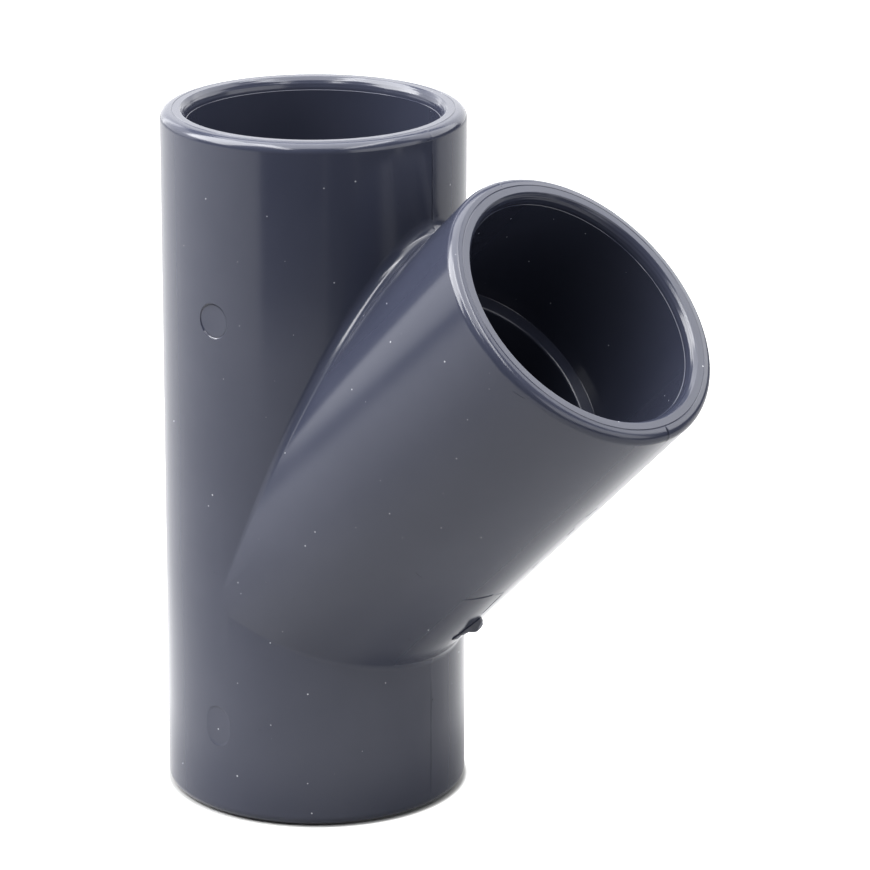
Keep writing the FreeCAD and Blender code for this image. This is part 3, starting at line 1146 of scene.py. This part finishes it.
@dataclass
class Studio:
    """The floor, the surroundings, the soft lights, the black flags and the camera.

    The floor is white to the camera, but for a painted contact shadow round the foot. Everything
    else sees its tone and a dim painted glow, with a painted ring of light near the foot and a
    painted pool of light towards pool_turn. Lengths are in metres.
    """

    viewpoint: Viewpoint = field(default_factory=Viewpoint)
    room_glow: float = 0.05
    floor_size: float = 12.0
    floor_tone: float = 0.32
    floor_white: float = 0.75
    # Painted light: the floor's glow for everything but the camera, a dim even glow plus a painted
    # ring of light near the foot and a painted pool of light towards pool_turn
    floor_glow: float = 0.12
    near_glow: float = 0.34
    near_rise: Two = (0.045, 0.080)
    near_fall: Two = (0.100, 0.200)
    pool_glow: float = 0.16
    pool_turn: float = -145.0
    pool_spread: Two = (0.40, 1.0)
    # Where the camera's white glow fades out: a painted contact shadow round the foot
    painted_foot_shadow: Two = (0.0362, 0.0377)
    panels: list[Panel] = field(
        default_factory=lambda: [
            Panel("roof", (-0.03, 0.04, 1.35), (-0.03, 0.04, 0.0), 1.9, 1.3, 4.4, -50.7),
            Panel("left_tube", (0.06, -0.85, 1.36), (0.06, -0.85, 0.0), 1.5, 0.2, 12.0, -50.7),
            Panel("right_tube", (0.84, 0.04, 1.36), (0.84, 0.04, 0.0), 1.6, 0.2, 9.0, -50.7),
            Panel("left", (-1.25, -0.15, 0.55), (0.0, 0.0, 0.12), 1.4, 0.9, 1.75),
            Panel("fill", (-0.80, -0.67, 1.05), (0.0, 0.0, 0.10), 1.1, 1.1, 10.5),
            Panel("back", (-0.95, 1.20, 0.55), (0.0, 0.0, 0.30), 2.4, 1.3, 1.5),
            Panel("side", (0.42, 1.04, 0.85), (0.0, 0.0, 0.10), 1.0, 1.0, 3.0),
            Panel("right", (1.25, 0.15, 0.35), (0.0, 0.0, 0.10), 1.4, 0.7, 2.2),
        ]
    )
    flags: list[Flag] = field(
        default_factory=lambda: [
            Flag("flag_left", -88.0, -42.0, 0.475, 0.11),
            Flag("flag_near", -41.0, -19.0, 0.437, 0.11),
            Flag("flag_middle", -18.0, 12.0, 0.475, 0.11),
            Flag("flag_right", 17.0, 52.0, 0.485, 0.09),
        ]
    )

    def floor(self) -> None:
        """Lay a pale floor that glows: white to the camera but for a painted contact shadow round
        the foot, and to everything else a dim painted glow with a painted pool and ring of light.
        """
        clear_selection()
        bpy.ops.mesh.primitive_plane_add(size=self.floor_size)
        floor = bpy.context.object
        floor.name = "floor"
        material, graph = new_material("floor_painted_light_and_shadow")
        tone = self.floor_tone
        place = graph.wire(graph.add("ShaderNodeTexCoord"), "Object")
        reach = graph.vector("LENGTH", place)
        parts = graph.add("ShaderNodeSeparateXYZ", {0: place})
        # Painted light: the floor's glow, seen only in reflections and bounce light, paints a pool
        # of light towards pool_turn and a ring of light near the foot
        turn = math.radians(self.pool_turn)
        ahead = graph.wire(parts, "X") * math.cos(turn) + graph.wire(parts, "Y") * math.sin(turn)
        pool = (ahead / reach).step(*self.pool_spread) * self.pool_glow + self.floor_glow
        near = reach.step(*self.near_rise) - reach.step(*self.near_fall)
        pool = pool + near * self.near_glow
        seen = graph.wire(graph.add("ShaderNodeLightPath"), "Is Camera Ray")
        # Painted shadow: the camera's white glow fades to nothing round the foot, a painted
        # contact shadow under the rim
        white = reach.step(*self.painted_foot_shadow) * self.floor_white
        glow = seen * white + (1.0 - seen) * pool
        inputs = {"Base Color": colour(tone, tone, tone), "Emission Color": glow}
        inputs |= {"Roughness": 0.8, "Specular IOR Level": 0.0, "Emission Strength": 1.0}
        graph.show("ShaderNodeBsdfPrincipled", inputs)
        floor.data.materials.append(material)

    def surroundings(self) -> None:
        """Light the room: pale to the camera, dim and even to everything else."""
        world = bpy.data.worlds.new("room")
        world.use_nodes = True
        bpy.context.scene.world = world
        graph = Graph(world.node_tree)
        seen = graph.wire(graph.add("ShaderNodeLightPath"), "Is Camera Ray")
        strength = seen * (1.0 - self.room_glow) + self.room_glow
        inputs = {"Color": colour(1.0, 1.0, 1.0), "Strength": strength}
        graph.show("ShaderNodeBackground", inputs, "World")

    def light(self, panel: Panel) -> None:
        """Hang one soft light."""
        clear_selection()
        turn = aim(panel.middle, panel.faces, panel.turn)
        bpy.ops.object.light_add(type="AREA", location=panel.middle, rotation=turn)
        lamp = bpy.context.object
        lamp.name = f"light_{panel.name}"
        lamp.data.shape = "RECTANGLE"
        lamp.data.size, lamp.data.size_y = panel.wide, panel.tall
        lamp.data.energy = panel.radiance * math.pi * panel.wide * panel.tall
        lamp.visible_camera = False

    def flag(self, flag: Flag) -> None:
        """Stand one black card up."""
        clear_selection()
        bpy.ops.mesh.primitive_circle_add(vertices=360, radius=flag.distance)
        card = bpy.context.object
        card.name = flag.name
        start_edit(card)

        def within(vert: Any) -> bool:
            """Tell whether a corner lies on the flag's arc."""
            angle = math.degrees(math.atan2(vert.co.y, vert.co.x))
            return flag.start - 0.01 <= angle <= flag.end + 0.01

        pick(card, "verts", lambda vert: not within(vert))
        bpy.ops.mesh.delete(type="VERT")
        pick_all()
        extrude((0.0, 0.0, flag.tall))
        end_edit()
        material, graph = new_material(f"{flag.name}_black")
        graph.show("ShaderNodeBsdfDiffuse", {"Color": colour(0.01, 0.01, 0.01)})
        card.data.materials.append(material)
        card.visible_camera = False

    def camera(self) -> None:
        """Set the camera at the photograph's viewpoint."""
        clear_selection()
        view = self.viewpoint
        turn = aim(view.place, view.target, view.roll)
        bpy.ops.object.camera_add(location=view.place, rotation=turn)
        camera = bpy.context.object
        camera.name = "camera"
        camera.data.lens = view.lens
        camera.data.sensor_width = view.sensor_width
        camera.data.clip_start, camera.data.clip_end = view.clip
        bpy.context.scene.camera = camera

    def build(self) -> None:
        """Set the whole studio up."""
        self.floor()
        self.surroundings()
        for panel in self.panels:
            self.light(panel)
        for flag in self.flags:
            self.flag(flag)
        self.camera()
        view = bpy.context.scene.view_settings
        view.view_transform = "Standard"
        view.look = "Medium High Contrast"


@dataclass
class Moulding:
    """The whole one-piece fitting: its legs, their junction, its finish and its place."""

    mouth: Mouth = field(default_factory=Mouth)
    junction: Junction = field(default_factory=Junction)
    stump: GateStump = field(default_factory=GateStump)
    marks: tuple[InsertMark, ...] = (
        InsertMark("upper_mark", 124.2, 4.1, 0.0, 0.34, 0.10, 0.22),
        InsertMark("lower_mark", 22.8, 3.6, 0.9, 0.20, 0.03, 0.45),
    )
    blemishes: Blemishes = field(default_factory=Blemishes)
    finish: MouldedPlastic = field(default_factory=MouldedPlastic)
    smooth_angle: float = 32.0
    run_breaks: tuple[float, ...] = (161.0, 152.0, 130.5, 118.5, 30.0, 16.0, 9.0)
    branch_breaks: tuple[float, ...] = (84.6, 69.8, 60.4, 47.8, 44.0, 38.0, 32.5, 22.5)

    def break_walls(self, body: Piece) -> None:
        """Divide the long wall faces crosswise, so that each small cut stays local."""
        near, wall = 0.06 * MM, SIZES.outer_radius * MM
        start = Vector((0.0, 0.0, SIZES.crossing_height * MM))
        axis = SIZES.branch_axis

        def on_run(vert: Any) -> bool:
            """Tell whether a corner lies on the run's near wall."""
            return abs(vert.co.xy.length - wall) < near and vert.co.y < 0.2 * wall

        def on_branch(vert: Any) -> bool:
            """Tell whether a corner lies on the branch's near or lower wall."""
            off = vert.co - start
            out = off - axis * off.dot(axis)
            return abs(out.length - wall) < near and out.z < 0.4 * wall

        start_edit(body, "FACE")
        for breaks, on_wall, base, way in (
            (self.run_breaks, on_run, Vector(), UP),
            (self.branch_breaks, on_branch, start, axis),
        ):
            for place in breaks:
                pick(body, "faces", lambda face: all(map(on_wall, face.verts)))
                bisect(base + way * place * MM, way)
        end_edit()

    def build(self) -> Piece:
        """Model the fitting."""
        legs = [Barrel(leg, self.mouth).build() for leg in Leg]
        body = self.junction.build(legs)
        self.break_walls(body)
        cut(body, self.stump.build(), "UNION")
        tools = [mark.tool() for mark in self.marks] + self.blemishes.tools()
        cut(body, join(tools[0], tools[1:]))
        start_edit(body)
        open_edges = pick(body, "edges", lambda edge: not edge.is_manifold)
        end_edit()
        faces = len(body.data.polygons)
        LOG.info("finished body: %d faces, %d open edges, %d cuts", faces, open_edges, len(tools))
        return body

    def dress(self, body: Piece) -> None:
        """Smooth the surface, give it its finish and put it in the frame."""
        make_active(body)
        bpy.ops.object.shade_smooth_by_angle(angle=math.radians(self.smooth_angle))
        apply_modifier(body, "WEIGHTED_NORMAL", keep_sharp=True, weight=50)
        body.data.materials.clear()
        body.data.materials.append(self.finish.build())
        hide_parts("wye_body")
        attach(body, "root")


def report(piece: Piece) -> None:
    """Log a piece's name and triangles."""
    mesh = piece.data
    mesh.calc_loop_triangles()
    LOG.info("%s: %d triangles", piece.name, len(mesh.loop_triangles))


def main() -> None:
    """Build the fitting and its studio."""
    logging.basicConfig(level=logging.INFO, format="%(name)s: %(message)s", force=True)
    Studio().build()
    moulding = Moulding()
    body = moulding.build()
    moulding.dress(body)
    report(body)


if __name__ == "__main__":
    main()
